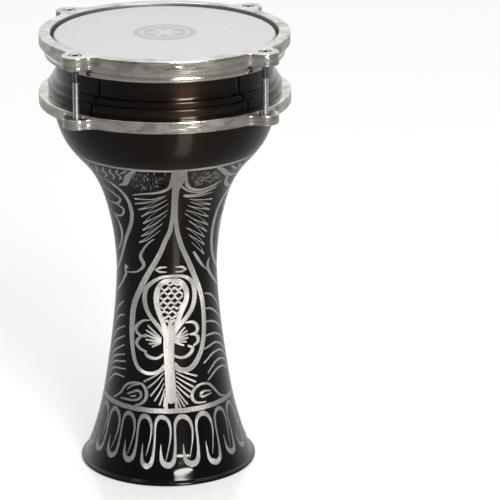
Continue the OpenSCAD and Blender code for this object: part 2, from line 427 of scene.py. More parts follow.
STEP = 2.3        # distance between points along a stroke
SPREAD = 1.15     # millimetres per degree in the plane that the panels are meshed in
GRID = 3.1        # distance between the points that keep the lacquer round
EDGE = 4.2        # distance between points up a panel's side
SEAM_NEAR = 2e-3  # how near a panel's edge a point counts as on it
DEPTH = 0.15      # depth of the engraving
CAPPED = 0.55     # half width from which a stroke's ends are rounded
PITCH = 17.5      # degrees between hooks of the usual width
HOOKS = 21
COLS = 336        # points round the shell on every ring
LOW_BORDER, HIGH_BORDER = 67, 308.7
LOW_SEAM, MID_SEAM, TOP_SEAM = 11.5, 64.2, 311.8      # where the meshed panels meet


def spline(points):
    """Catmull-Rom curve through (phi, z) points, about STEP apart in true millimetres,
    and the place of each of its points among them."""
    p = np.array(points, float)
    q = np.stack([p[:, 0] * math.pi / 180 * shell_r(p[:, 1]), s_of(p[:, 1])], 1)
    size = np.linalg.norm(np.diff(q, axis=0), axis=1)
    knots = np.concatenate([[0], np.cumsum(np.maximum(size, 0.2) ** 0.5)])
    slope = slopes(p, knots)
    out, at = [], []
    for i in range(len(p) - 1):
        n = max(1, int(round(size[i] / STEP)))
        for k in range(n + (i == len(p) - 2)):
            out.append(cubic(p[i], p[i + 1], slope[i], slope[i + 1], knots[i + 1] - knots[i],
                             k / n))
            at.append(i + k / n)
    return np.array(out), np.array(at)


def convex(points):
    """The convex outline of a few points, anticlockwise."""
    points = sorted(set(map(tuple, points)))

    def half(seq):
        side = []
        for p in seq:
            while len(side) > 1:
                (ax, ay), (bx, by) = side[-2:]
                if (bx - ax) * (p[1] - ay) - (by - ay) * (p[0] - ax) > 1e-6:
                    break
                side.pop()
            side.append(p)
        return side[:-1]

    return half(points) + half(points[::-1])


class Cuts:
    """Collects strokes as small convex pieces, each with its place along the stroke.
    Strokes of kind 0 are wiggle cuts, and those of kind 1 are plain lines."""

    def __init__(self):
        self.pieces = []          # (outline in the meshing plane, kind, origin, tangent, along)

    def piece(self, corners, *about):
        outline = convex(corners)
        if len(outline) > 2:
            self.pieces.append((outline, *about))

    def stroke(self, points, width, kind=0, offset=0.0):
        """A stroke through (phi, z) points. width is one number, or several spread
        evenly over the points, and offset shifts the thickest part sideways."""
        curve, at = spline(points)
        widths = np.atleast_1d(np.array(width, float))
        w = np.interp(at, np.linspace(0, len(points) - 1, len(widths)), widths) / 2
        off = offset * (w / max(w.max(), 1e-6))
        centre = np.stack([curve[:, 0], s_of(curve[:, 1])], 1)
        round_deg = math.pi / 180 * shell_r(curve[:, 1])
        tangent = np.gradient(centre, axis=0)
        tangent[:, 0] *= round_deg
        tangent /= np.linalg.norm(tangent, axis=1)[:, None] + 1e-12
        side = np.stack([-tangent[:, 1], tangent[:, 0]], 1)

        def plane(i, across, ahead=0.0):
            step = side[i] * (across + off[i]) + tangent[i] * ahead
            return ((centre[i, 0] + step[0] / round_deg[i]) * SPREAD, centre[i, 1] + step[1])

        along = 0.0
        for i in range(len(curve) - 1):
            self.piece([plane(i, w[i]), plane(i, -w[i]), plane(i + 1, -w[i + 1]),
                        plane(i + 1, w[i + 1])], kind, plane(i, 0), tangent[i], along)
            gap = (centre[i + 1] - centre[i]) * (round_deg[i], 1)
            along += float(np.hypot(*gap))
        for i, sign in ((0, -1), (len(curve) - 1, 1)):
            if w[i] > CAPPED:
                cap = [plane(i, w[i] * math.cos(t), sign * w[i] * math.sin(t))
                       for t in (0, 0.8, math.pi / 2, math.pi - 0.8, math.pi)]
                self.piece(cap, kind, plane(i, 0), tangent[i], 0.0 if sign < 0 else along)

    def strokes(self, widths, *lines):
        """Several strokes with the same widths."""
        for points in lines:
            self.stroke(points, widths)

    def band(self, points, widths, lines=3):
        """A band of parallel lines, as wide as the widths in all."""
        for k in range(lines):
            shift = (k - (lines - 1) / 2) / lines * 1.14
            self.stroke(points, [w * (1.05 / lines) for w in widths], 1, shift * max(widths))


def main_motif(c, pick):
    """The teardrop with its stem, spade, flower halves and rays."""
    left_band = [(5.8, 308), (5.8, 300), (5.9, 290), (6.1, 275), (6, 260), (5.2, 250), (3.3, 240),
        (-1.5, 230), (-6, 220), (-12, 210), (-19, 200), (-26, 190), (-32, 180), (-37.3, 170),
        (-40.5, 160), (-41, 150), (-41, 140), (-39.8, 130), (-37.6, 120), (-33.6, 110),
        (-29, 104.5), (-22, 101.8), (-15, 101.8), (-8, 104.6), (-3, 110)]
    right_band = [(9.2, 308), (8.9, 300), (8.7, 290), (8.6, 275), (8.7, 260), (9.4, 250),
        (11, 240), (14, 230), (18.3, 220), (23.8, 210), (29, 200), (34.2, 190), (39, 180),
        (42.3, 170), (43.6, 160), (43.6, 150), (42.7, 140), (40.5, 130), (36.3, 120), (29, 110.5),
        (23, 106), (17, 104.6), (11, 106), (6, 111)]
    c.band(left_band,
        [3] * 5 + [3.3, 3.7, 3.9, 4.1, 4.3, 4.5, 4.7, 4.9, 5.4, 5.6, 5.5, 5.2, 4.5, 3.9, 3.4, 3.1,
            2.9, 2.8, 2.8, 3])
    c.band(right_band, [3] * 5 + [3.3, 3.7, 3.9, 4.1, 4.3] + [4.6] * 10 + [4.6, 4.4, 4.4, 4.6])
    for high, low in ((4.8, 7), (8.3, 8.3), (11.6, 9.6)):
        c.stroke([(high, 307), (high, 300), (0.6 * high + 0.4 * low, 293), (low, 286)],
            [4.2, 4.6, 3.8, 2.4], 1)
    # Commas above the spade
    for side, x in ((1, -12.5), (-1, 22)):
        c.stroke([(x, 201), (x + 4.5 * side, 203.4), (x + 12.5 * side, 203.9)], [1.6, 2.3, 0.9])
        c.stroke([(x, 201), (x + 4.5 * side, 199.2), (x + 12.5 * side, 199.2)], [1.6, 2.1, 0.8])
    # Spade: an outer and an inner ring, both open at the stem
    c.stroke([(5, 195.2), (-5, 194.2), (-12, 191.5), (-18, 187.8), (-23, 183.5), (-25.6, 178),
            (-25.8, 170), (-23, 162), (-18, 155), (-13, 150), (-8, 145), (-3, 139), (0, 133)],
        [2.6, 2.7, 3.2, 3.8, 4.4, 4.6, 4.6, 4.2, 3.8, 3.8, 4, 4.4, 5])
    c.stroke([(5, 195.2), (15, 194.8), (22, 193), (27, 190), (30.3, 186), (32.2, 180), (32.3, 172),
            (29, 163), (22, 155), (13, 147), (7, 140), (4, 134)],
        [2.6, 2.7, 3.2, 3.8, 4.4, 4.8, 4.8, 4.6, 4, 4, 4.4, 5])
    c.stroke([(4, 191), (-4, 189.4), (-9, 184.6), (-11.5, 178), (-11.9, 171.5), (-11, 165),
            (-8.3, 158), (-5.5, 152), (-3, 146), (0, 139)],
        [3.6, 4.4, 5, 5.2, 5.2, 5, 4.6, 4.4, 4.6, 5])
    c.stroke([(4, 191), (11.6, 190.5), (17, 187.8), (20.8, 183), (22.4, 178), (21.9, 172),
            (19.1, 166), (15.4, 160), (12.6, 154), (9, 147), (6, 139)],
        [3.6, 4.4, 5, 5.2, 5.2, 5, 5, 4.8, 4.6, 4.8, 5])
    # Checkered heart of the spade: wavy rows in turn, which leave lens-shaped cells
    for k in range(9):
        z = 187.2 - 4.5 * k
        middle = 5.4 - 0.06 * (187.5 - z)
        half = 12.3 * math.cos((k - 2.8) / 6.6)
        n = max(3, int(round(half / 1.75)))
        row = [(middle + half * (2 * j / (n - 1) - 1) + pick.uniform(-0.4, 0.4),
                z + (1.15 if (j + k) % 2 else -1.15) + pick.uniform(-0.3, 0.3))
               for j in range(n)]
        c.stroke(row, 2.1)
    # The thick stem under the spade, and its two roots
    c.stroke([(3.4, 153), (2.9, 147), (2.2, 141), (1.6, 134), (1.4, 126), (1.4, 118), (1.6, 109),
            (2.1, 100), (2.6, 88), (2.9, 79)], [2, 4.5, 8, 10.2, 10.2, 9.4, 9, 9.4, 10, 10.6])
    c.stroke([(-1.7, 79), (-1.9, 69)], 3.2)
    c.stroke([(7.2, 79), (7.5, 69)], 2.8)
    # Flower halves left and right of the stem
    for points, widths in (
            (
                [(-20, 152), (-26, 151.2), (-32, 147.5), (-36, 142), (-33, 138), (-28, 136),
                    (-22.5, 136.3)], [1, 1.6, 2.4, 3, 2.2, 2, 1.2]),
            ([(-26, 137), (-31, 133.8), (-34, 129), (-31, 125), (-27, 123), (-22.5, 122)],
                [1.2, 2.2, 2.9, 2.4, 2, 1.4]),
            ([(-24, 122.5), (-22, 119), (-18, 117), (-13, 116.2), (-9, 117.2), (-5, 120)],
                [1.4, 2.4, 2.6, 2.2, 2, 1.8]),
            (
                [(20, 149.2), (26, 149.5), (31, 147.6), (34, 143), (33.3, 139.5), (29, 137.6),
                    (24.5, 137.5)], [1, 1.8, 2.6, 3, 2.6, 2.2, 1.2]),
            ([(25, 137.6), (31, 136.5), (34, 133), (33, 129), (28.5, 126.8)],
                [1.2, 2.2, 2.9, 2.6, 1.6]),
            ([(22, 127), (26.8, 124.2), (24, 120), (18, 117), (12.5, 116.8), (7, 118.8)],
                [1.6, 2.7, 2.8, 2.4, 2, 1.8])):
        c.stroke(points, [1.25 * w for w in widths])
    for root_x, level, tips in (
            (-7, 137,
                ((-21, 146.5), (-22.8, 142), (-24.2, 137.8), (-22.4, 133.2), (-19, 129.6),
                    (-15.5, 127.2))),
            (7.8, 136,
                ((18.5, 144.5), (21, 141.3), (22, 138), (21.5, 134.6), (19.5, 131.2),
                    (16.5, 128)))):
        for tip in tips:
            root = (root_x, 133.5 + 0.25 * (tip[1] - level))
            middle = ((tip[0] + root[0]) / 2, (tip[1] + root[1]) / 2)
            c.stroke([tip, middle, root], [1.7, 1.9, 1.4])
    # Rays at the foot of the stem
    for (x, z), tip in (((-3, 106.5), (-23, 93.5)), ((-4, 103), (-18.5, 88.3)),
            ((-4, 98.5), (-16, 80.8)), ((-3.5, 93), (-12, 76.5)), ((-3, 88), (-7.5, 73)),
            ((-3, 84), (-3.6, 71.5))):
        c.stroke([(x, z), (0.55 * x + 0.45 * tip[0], 0.5 * z + 0.5 * tip[1]), tip],
                 [0.7, 1.2, 1.8])
    for (x, z), tip in (((7.5, 106), (28.8, 97.6)), ((8, 103), (27, 92.3)), ((8, 99), (24.2, 88)),
            ((8, 95), (21.5, 83.6)), ((8, 91), (19.6, 79)), ((8, 87), (17.6, 72.5)),
            ((8.5, 83), (14.6, 71)), ((8.5, 80), (11, 70.5))):
        c.stroke([(x, z), (0.5 * x + 0.5 * tip[0], 0.48 * z + 0.52 * tip[1]), tip],
                 [0.8, 1.3, 1.9])


def eye_leaves(c):
    """The two curled leaves on the lower border."""
    c.stroke([(-58, 70.8), (-52, 75), (-48, 79), (-45, 84), (-41, 88), (-35, 90.6), (-28, 91.2),
            (-24, 90), (-21, 86), (-20, 81), (-21.5, 76), (-25, 72.2), (-30, 70)],
        [1.4, 2, 2.4, 2.6, 2.4, 2, 2, 2.4, 3.2, 3.4, 3, 2.4, 2])
    c.stroke([(-41, 83), (-35, 88), (-28, 90)], [0.8, 1.6, 1])
    c.stroke([(-40, 79), (-34, 82), (-30, 84), (-26.3, 83), (-25, 80), (-28, 76), (-34, 74),
            (-42, 73.5), (-48, 73)], [1.4, 2, 2.5, 2.5, 2.4, 2.3, 2, 1.9, 1.2])
    c.stroke([(-37, 77), (-31, 78.8)], [1, 1.9])
    c.stroke([(62, 70), (56, 72), (51, 77), (46, 83), (42, 87), (37, 88.6), (31, 88.5), (26, 86),
            (23, 82), (22.6, 78), (24.5, 74), (29, 72), (36, 71.5)],
        [1.6, 2.2, 2.4, 2.4, 2.2, 2, 2.2, 2.8, 3.3, 3.3, 2.8, 2, 1.4])
    c.stroke([(44, 80), (36, 81.6), (32, 80.3), (31.3, 78.4), (33, 76.8), (38, 77.4), (44, 78)],
        [0.9, 2, 2.9, 3.2, 2.6, 1.7, 0.9])


def side_palm(c):
    """Long leaves that rise from a rib at each side, with that rib on the seam."""
    c.stroke([(-85, 71), (-84, 100), (-84, 130), (-83, 160), (-83, 178)], [4.6, 3.8, 3.2, 2.6, 1])
    c.strokes([0.9, 1.7, 2, 1.1], [(-83, 138), (-74, 150), (-66, 158), (-57, 164)],
        [(-83, 127), (-75, 138), (-66, 147), (-54, 152)],
        [(-84, 115), (-75, 126), (-66, 134.5), (-52, 141)],
        [(-84, 104), (-75, 115), (-66, 124), (-51, 132)],
        [(-84, 95), (-75, 106), (-66, 114.5), (-50, 123.5)],
        [(-84, 87), (-75, 99), (-66, 108.5), (-48, 115)],
        [(-84, 81), (-75, 93), (-66, 103), (-46, 108.5)],
        [(-84, 77), (-75, 87), (-66, 97), (-45, 101.4)],
        [(-84, 73), (-72, 83), (-60, 92.5), (-46, 93.5)])
    c.strokes([1.1, 2.1, 1.9, 1.5, 0.8], [(47, 173), (55, 171), (65, 165), (76, 155), (95, 137)],
        [(47, 158.4), (55, 156.8), (65, 151.5), (77, 143), (95, 126)],
        [(46, 146), (54, 144.6), (65, 140.5), (77, 132), (95, 115)],
        [(43, 132.5), (52, 132.6), (64, 130), (77, 122), (95, 105)],
        [(41, 120.5), (48, 122), (60, 122.5), (76, 114), (95, 96)],
        [(38, 107.5), (44, 110.5), (52, 114), (66, 113.5), (79, 105), (95, 88)],
        [(42, 97), (48, 101.5), (56, 105.4), (68, 104.5), (80, 97), (95, 81)],
        [(41, 90.5), (47, 94), (56, 98), (68, 97), (80, 90), (95, 75)])


def feathers(c):
    """Short barbs left and right of the long stem, each scratched back to the next."""
    left = [[(-27, 273), (-12, 274), (0, 278.5)], [(-28, 267.5), (-15, 270), (-1, 277)],
        [(-25.5, 261.6), (-12, 266), (1, 274)],
        [(-23.7, 254.6), (-16, 259), (-6, 264), (2, 269.5)],
        [(-22.4, 247.7), (-14, 252.6), (-5, 258), (2, 263)],
        [(-23.7, 240.7), (-15, 245.4), (-6, 252), (0.5, 258)],
        [(-26.4, 234.2), (-18, 237.6), (-9, 244.6), (-3.5, 248.5)],
        [(-29.3, 227.4), (-21, 230.4), (-13, 236), (-6, 241.5)]]
    right = [[(44, 268.4), (32, 270.3), (20, 273)], [(44, 263), (33, 265.5), (21, 269.6)],
        [(44.6, 257.4), (36, 260), (27, 263), (19, 266.4)],
        [(44.6, 250.3), (36, 253.6), (27, 258), (18, 261.6)],
        [(46.6, 241.4), (36, 246.4), (26, 251.6), (17.5, 258)],
        [(46, 234.9), (38, 239.6), (30, 244.6), (22, 250)],
        [(44.2, 229.6), (36, 234), (28, 238.8), (20, 243)],
        [(45, 221.8), (38, 226), (30, 231.4), (23, 235.6)],
        [(45.4, 212.4), (40, 216.6), (34, 221.4), (27.6, 227)]]
    for barbs in (left, right):
        for barb, following in zip(barbs, barbs[1:] + [None]):
            c.stroke(barb, [1.7, 0.95, 0.65, 0.35])
            if following:
                middle = [(a + b) / 2 for a, b in zip(barb[1], following[1])]
                c.stroke([barb[-1], middle, following[0]], [0.3, 0.4, 1])
    c.stroke([(-13, 232), (-20, 227), (-25.5, 221), (-29.5, 215), (-29.6, 211), (-27, 207.5),
            (-26.6, 204), (-30, 200.4), (-36, 197), (-44, 195), (-51, 194)],
        [0.8, 1.6, 2, 3, 3.8, 4, 3.2, 2.2, 1.7, 1.4, 0.8])
    c.stroke([(31, 216.5), (36, 210.5), (42, 203.5), (50.5, 196)], [2.2, 3.2, 2.8, 1])


def panels(c, pick):
    """The two textured fields under the top border, and the scrolls beside them."""
    c.stroke([(-19, 307.6), (-25, 300), (-29, 293), (-32, 288.6), (-38, 286)],
        [3.2, 5.6, 5.8, 4.6, 1.6])
    c.stroke([(3.9, 298), (3.2, 289.5), (-1, 284.4), (-8.6, 281.4), (-18.6, 279.4), (-28, 277)],
        [3, 3.8, 3.2, 2.4, 1.8, 1.4])
    c.stroke([(12, 306), (13.5, 298), (15.8, 289), (20, 284.6), (27, 282.2), (33, 282.6),
            (40, 285), (46, 287.4)], [2.4, 3.2, 3.8, 3.2, 2.6, 2, 1.5, 0.8])
    c.stroke([(11.4, 289), (17, 283), (25, 279.9), (34, 280), (44, 284.6)],
        [2, 1.8, 1.4, 1.1, 0.7])
    c.stroke([(14.8, 277.8), (24, 277.2), (33, 278), (44, 281)], [1.9, 1.5, 1.3, 1])
    c.stroke([(16, 276.2), (27, 275.2), (41.5, 276.2)], [1.4, 1.1, 0.8])
    c.stroke([(32, 308.4), (38, 303), (43, 298.4), (48, 294.4), (55, 291.2), (62, 290)],
        [3, 4.8, 5.2, 4.8, 4, 2])
    c.stroke([(50, 292), (54, 284), (60, 278.6), (69, 275)], [3.8, 4.6, 4, 2])
    # Punched ground on the left, hatched ground on the right
    for _ in range(120):
        z = pick.uniform(283.5, 304.5)
        left = -21 - 0.45 * (304.5 - z) if z > 290 else -27 + 0.6 * (290 - z)
        right = 0.8 - 0.16 * (304.5 - z) if z > 290 else -2.4 - 1.6 * (290 - z)
        x, long = pick.uniform(left, right), pick.uniform(0.4, 2.2)
        c.stroke([(x, z), (x + pick.uniform(-0.4, 0.4), z + long)], 0.36, 1)
    for _ in range(150):
        x, z = pick.uniform(15, 44), pick.uniform(286, 304)
        long = pick.uniform(0.8, 2.4)
        low = 304 - 1.9 * (x - 13) if x < 22 else 286.6 + 0.12 * (x - 26)
        if low < z < 305.5 - max(0, x - 31) * 1.0 - long:
            c.stroke([(x, z), (x + long * 0.8, z + long)], 0.36, 1)


def side_medallion(c):
    """The large medallion that each side carries between the two teardrops."""
    c.stroke([(-52, 288.4), (-46, 285.4), (-41, 281), (-37, 275), (-34.6, 268), (-34, 260),
            (-35, 252), (-38, 244), (-43, 236), (-49, 227), (-55, 217), (-62, 206.5), (-72, 196),
            (-85, 187)], [2, 3, 3.6, 4, 4, 4, 4, 4, 3.8, 3.8, 3.8, 3.6, 3.6, 3.4])
    c.stroke([(-52, 288.4), (-60, 289.6), (-72, 289.4)], [2, 2.2, 2.4])
    c.stroke([(108, 289.4), (92, 286), (80, 279.5), (70, 271), (62, 262), (58, 252), (56.5, 241),
            (57, 229), (59.5, 217), (64, 207), (74, 196.5), (95, 187)],
        [2.4, 3, 3.6, 4.2, 4.4, 4.6, 4.6, 4.6, 4.4, 4.2, 3.8, 3.4])
    # Inside it: an inner arc on each side, a rib and leaves
    c.stroke([(-66, 253), (-60, 248.4), (-56, 243), (-54, 238), (-54, 232), (-57, 225), (-62, 218),
            (-72, 210)], [1.2, 2, 2.6, 3, 3, 2.8, 2.4, 1])
    c.stroke([(84, 250), (76, 243), (73, 236), (74, 228), (79, 219), (88, 210)],
        [1.2, 2.4, 3, 3, 2.6, 1])
    for points in (
            [(-66, 277), (-58, 275.6), (-50, 273), (-44, 269), (-48, 264.4), (-56, 262),
                (-64, 262)],
            [(-62, 262.4), (-54, 262), (-47, 260.6), (-43.4, 258), (-47, 252.4), (-55, 249.4),
                (-63, 250)]):
        c.strokes([1, 1.6, 2.2, 2.8, 2.2, 1.8, 1], points, [(-151 - p, z) for p, z in points])
    c.stroke([(-62, 279.6), (-54, 277), (-48.5, 274.6)], [0.8, 1.4, 0.8])
    c.stroke([(-76, 284), (-76, 268), (-78, 250), (-81, 232), (-85, 214), (-88, 198)],
        [1, 2.6, 3.4, 3.2, 2.4, 1])
    for k in range(5):
        z = 246 - 9 * k
        x = -79 - 1.6 * k
        c.strokes([1.6, 2, 0.8], [(x, z), (x + 6, z - 2), (x + 11 - k, z - 8)],
            [(x, z), (x - 6, z - 2), (x - 11 + k, z - 8)])
    # Scrolls under it
    c.stroke([(-49.5, 197.6), (-53, 200.2), (-54.4, 197), (-53.4, 192), (-57, 187.6), (-63, 180),
            (-74, 172.6), (-84, 168)], [1, 2.6, 3.6, 3.2, 2.6, 2.4, 2, 0.8])
    c.stroke([(57, 206), (54, 203), (53.6, 197.4), (57, 192.4), (63, 186.4), (74, 178), (90, 169)],
        [1, 3.4, 4, 3.8, 3.2, 2.4, 0.8])
    # Acanthus strokes between the medallion and the border
    c.strokes([1.2, 2.6, 2.2, 0.8], [(-24.5, 306.5), (-27, 304), (-30.5, 301)],
        [(-30.6, 305.6), (-33, 302.6), (-32, 297), (-35, 292)],
        [(-36, 305.4), (-38.6, 301), (-38, 295.6), (-42, 290.6)],
        [(-41.6, 305.4), (-44.6, 300.6), (-45, 295.4), (-50, 291.6)],
        [(-48, 305.4), (-51, 301), (-53, 297), (-58, 294.4)],
        [(-56, 305.4), (-60, 301.6), (-63, 298), (-68, 296)],
        [(-66, 305.4), (-70, 301.6), (-75, 299), (-82, 297.6)],
        [(62, 304.6), (66, 300.6), (71, 297), (80, 294.6)],
        [(52, 305), (56, 301), (61, 297.4), (68, 295)],
        [(44, 305.6), (48, 302.6), (52, 299.6), (57, 297.6)],
        [(73, 304.8), (78, 301.6), (84, 299.4), (92, 298.6)])
    c.stroke([(-90, 303.6), (-90.2, 297)], [2.6, 1])


def border(c, z, width, ripple):
    """A border ring all the way round, as one slightly rippled stroke."""
    n = 24
    points = [(-90 + 180 * k / n, z + ripple * (0.5 if k % 2 else -0.5) * (0 < k < n))
              for k in range(n + 1)]
    c.stroke([(-100, z)] + points + [(100, z)], width)


def frieze(c, pick):
    """HOOKS interlocking S-hooks round the foot, hand-spaced."""
    # The crown's angle and the sag of the foot of each hook
    hooks = [(-54, 0.5), (-37, 0.7), (-21.5, 1.2), (-7, -2.3), (10.5, -0.8), (29.5, -0.8),
        (48.5, -3.2)]
    first, last = hooks[0][0], hooks[-1][0]
    rest = HOOKS - len(hooks)
    pitch = (360 - last + first) / (rest + 1)
    hooks += [(last + pitch * (k + 1) + pick.uniform(-0.5, 0.5), pick.uniform(-2.8, 0.8))
              for k in range(rest)]
    hook = [(-16.4, 36.5), (-16.2, 28), (-15, 21.6), (-11.2, 18.6), (-7.4, 21), (-5.7, 28),
        (-5.1, 38), (-5, 50), (-4, 57), (-0.6, 61.2), (3.5, 61), (7, 57.6), (8.9, 50.5), (8.6, 42),
        (7, 33), (5, 24)]
    widths = [0.5, 2.2, 4, 5.6, 4.2, 2.7, 2, 2, 2.9, 4.2, 4.1, 3.3, 2.1, 1.6, 1.2, 0.5]
    for k, (crown, sag) in enumerate(hooks):
        fat = pick.uniform(0.92, 1.06)
        before = (crown - hooks[k - 1][0]) % 360 / PITCH
        after = (hooks[(k + 1) % HOOKS][0] - crown) % 360 / PITCH
        for turn in (-360, 0):
            c.stroke([(crown + x * (before if x < 0 else after) + turn,
                       z + sag * min(1, max(0, (40 - z) / 16))) for x, z in hook],
                     [w * fat for w in widths])


def mesh_panel(pieces, z_low, z_high, turn, cols):
    """Meshes a panel `turn` degrees wide, with the strokes cut out as faces of their own.
    Returns its angles and heights, triangles, what cuts each of them, and its edges."""
    x_half = turn / 2 * SPREAD
    y_low, y_high = float(s_of(z_low)), float(s_of(z_high))
    rise = y_high - y_low
    rows = int(round(rise / EDGE))
    loop = [(-x_half + 2 * x_half * k / cols, y_low) for k in range(cols)]
    loop += [(x_half, y_low + rise * k / rows) for k in range(rows)]
    loop += [(x_half - 2 * x_half * k / cols, y_high) for k in range(cols)]
    loop += [(-x_half, y_high - rise * k / rows) for k in range(rows)]
    points, faces, frames = list(loop), [list(range(len(loop)))], [None]
    for outline, kind, origin, tangent, along in pieces:
        for shift in (-2 * x_half, 0, 2 * x_half):
            xs = [p[0] + shift for p in outline]
            if min(xs) > x_half - 1e-3 or max(xs) < -x_half + 1e-3:
                continue
            faces.append(list(range(len(points), len(points) + len(outline))))
            points += [(p[0] + shift, p[1]) for p in outline]
            frames.append((kind, (origin[0] + shift, origin[1]), tangent, along))
    # Points between the strokes, in staggered rows
    near = kdtree.KDTree(len(points))
    for i, p in enumerate(points):
        near.insert((p[0], p[1], 0), i)
    near.balance()
    row_gap = GRID * 0.87
    for j in range(1, int(rise / row_gap)):
        y = y_low + row_gap * j
        for i in range(int(2 * x_half / GRID)):
            x = -x_half + GRID * (i + 0.5 + 0.5 * (j % 2))
            if x < x_half - 1 and y < y_high - 1 and near.find((x, y, 0))[2] > 1.5:
                points.append((x, y))
    verts, _, tris, _, _, origins = delaunay_2d_cdt(points, [], faces, 0, 1e-4, True)
    verts = np.array([tuple(v) for v in verts], float)
    x, y = verts.T
    inner = (y > y_low + SEAM_NEAR) & (y < y_high - SEAM_NEAR)
    edges = {}
    for key, on_edge, axis in (("low", abs(y - y_low) < SEAM_NEAR, 0),
                               ("high", abs(y - y_high) < SEAM_NEAR, 0),
                               ("left", (abs(x + x_half) < SEAM_NEAR) & inner, 1),
                               ("right", (abs(x - x_half) < SEAM_NEAR) & inner, 1)):
        found = np.where(on_edge)[0]
        edges[key] = found[np.argsort(verts[found, axis])]
    if len(edges["left"]) != len(edges["right"]) or len(edges["low"]) != cols + 1 \
            or len(edges["high"]) != cols + 1:
        raise ValueError(f"panel seams differ: { {k: len(v) for k, v in edges.items()} }")
    phi, z = x / SPREAD, z_of(y)
    z[edges["low"]], z[edges["high"]] = z_low, z_high
    z[edges["right"]] = z[edges["left"]]
    out, info = [], []
    for tri, origin in zip(tris, origins):
        if 0 not in origin:
            continue
        out.append(tuple(tri))
        groove = [frames[i] for i in origin if i > 0]
        if not groove:
            info.append(None)
            continue
        kind, at, tangent, along = max(groove, key=lambda g: g[0] == 0)
        cut_uv = []
        for i in tri:
            dx = (verts[i, 0] - at[0]) / SPREAD * math.pi / 180 * float(shell_r(z[i]))
            dy = verts[i, 1] - at[1]
            cut_uv.append((along + dx * tangent[0] + dy * tangent[1],
                           dy * tangent[0] - dx * tangent[1]))
        info.append((kind, cut_uv))
    return phi, z, out, info, edges


class Shell:
    """Gathers the shell's vertices, faces, normals and stroke coordinates."""

    def __init__(self):
        self.points, self.normals = [], []
        self.faces, self.kinds, self.uvs = [], [], []
        self.last = None          # the ring that the next one joins

    def add(self, phi, r, z, normal=None):
        a = math.radians(phi - 90)
        self.points.append((r * math.cos(a), r * math.sin(a), z))
        self.normals.append(normal)
        return len(self.points) - 1

    def ring(self, r, z, on_line=False):
        phis = [-180 + 360 * k / COLS for k in range(COLS)]
        normals = shell_normal(phis, np.full(COLS, z)) if on_line else [None] * COLS
        return [self.add(p, r, z, n) for p, n in zip(phis, normals)]

    def line_ring(self, z):
        """A ring on the shell's outline at height z."""
        return self.ring(float(shell_r(z)), float(z), True)

    def face(self, corners, kind, uv=None):
        self.faces.append(corners)
        self.kinds.append(kind)
        self.uvs.append(uv)

    def join(self, ring, kind):
        """Joins the last ring to this one, if there is one, and makes this one the last."""
        if self.last:
            for k in range(COLS):
                m = (k + 1) % COLS
                self.face((self.last[k], self.last[m], ring[m], ring[k]), kind)
        self.last = ring

    def climb(self, outline, kind):
        """Joins on a ring at each (r, z) point."""
        for r, z in outline:
            self.join(self.ring(r, z), kind)

    def climb_line(self, heights):
        """Joins on a lacquered ring of the shell's outline at each height."""
        for z in heights:
            self.join(self.line_ring(z), "lacquer")

    def panel(self, made, copies, turn, low, high):
        """Lays copies of a meshed panel side by side between two rings."""
        phi, z, tris, info, edges = made
        normals = shell_normal(phi, z)
        radius = shell_r(z)
        seams = [[self.add(phi[i] + c * turn, float(shell_r(z[i])), z[i],
                           shell_normal(phi[i] + c * turn, z[i])) for i in edges["left"]]
                 for c in range(copies)]
        special = {int(i): (key, rank) for key in edges for rank, i in enumerate(edges[key])}
        used = sorted({i for tri in tris for i in tri})
        for c in range(copies):
            index = {}
            for i in used:
                key, rank = special.get(i, (None, 0))
                angle = phi[i] + c * turn
                if key in ("low", "high"):
                    column = int(round((angle + 180) / 360 * COLS)) % COLS
                    index[i] = (low if key == "low" else high)[column]
                elif key:
                    index[i] = seams[(c + (key == "right")) % copies][rank]
                else:
                    n = normals[i] if c == 0 else shell_normal(angle, z[i])
                    index[i] = self.add(angle, float(radius[i]), float(z[i]), n)
            for tri, about in zip(tris, info):
                corners = tuple(index[i] for i in tri)
                if about is None:
                    self.face(corners, "lacquer")
                else:
                    self.face(corners, "cut" if about[0] == 0 else "line", about[1])


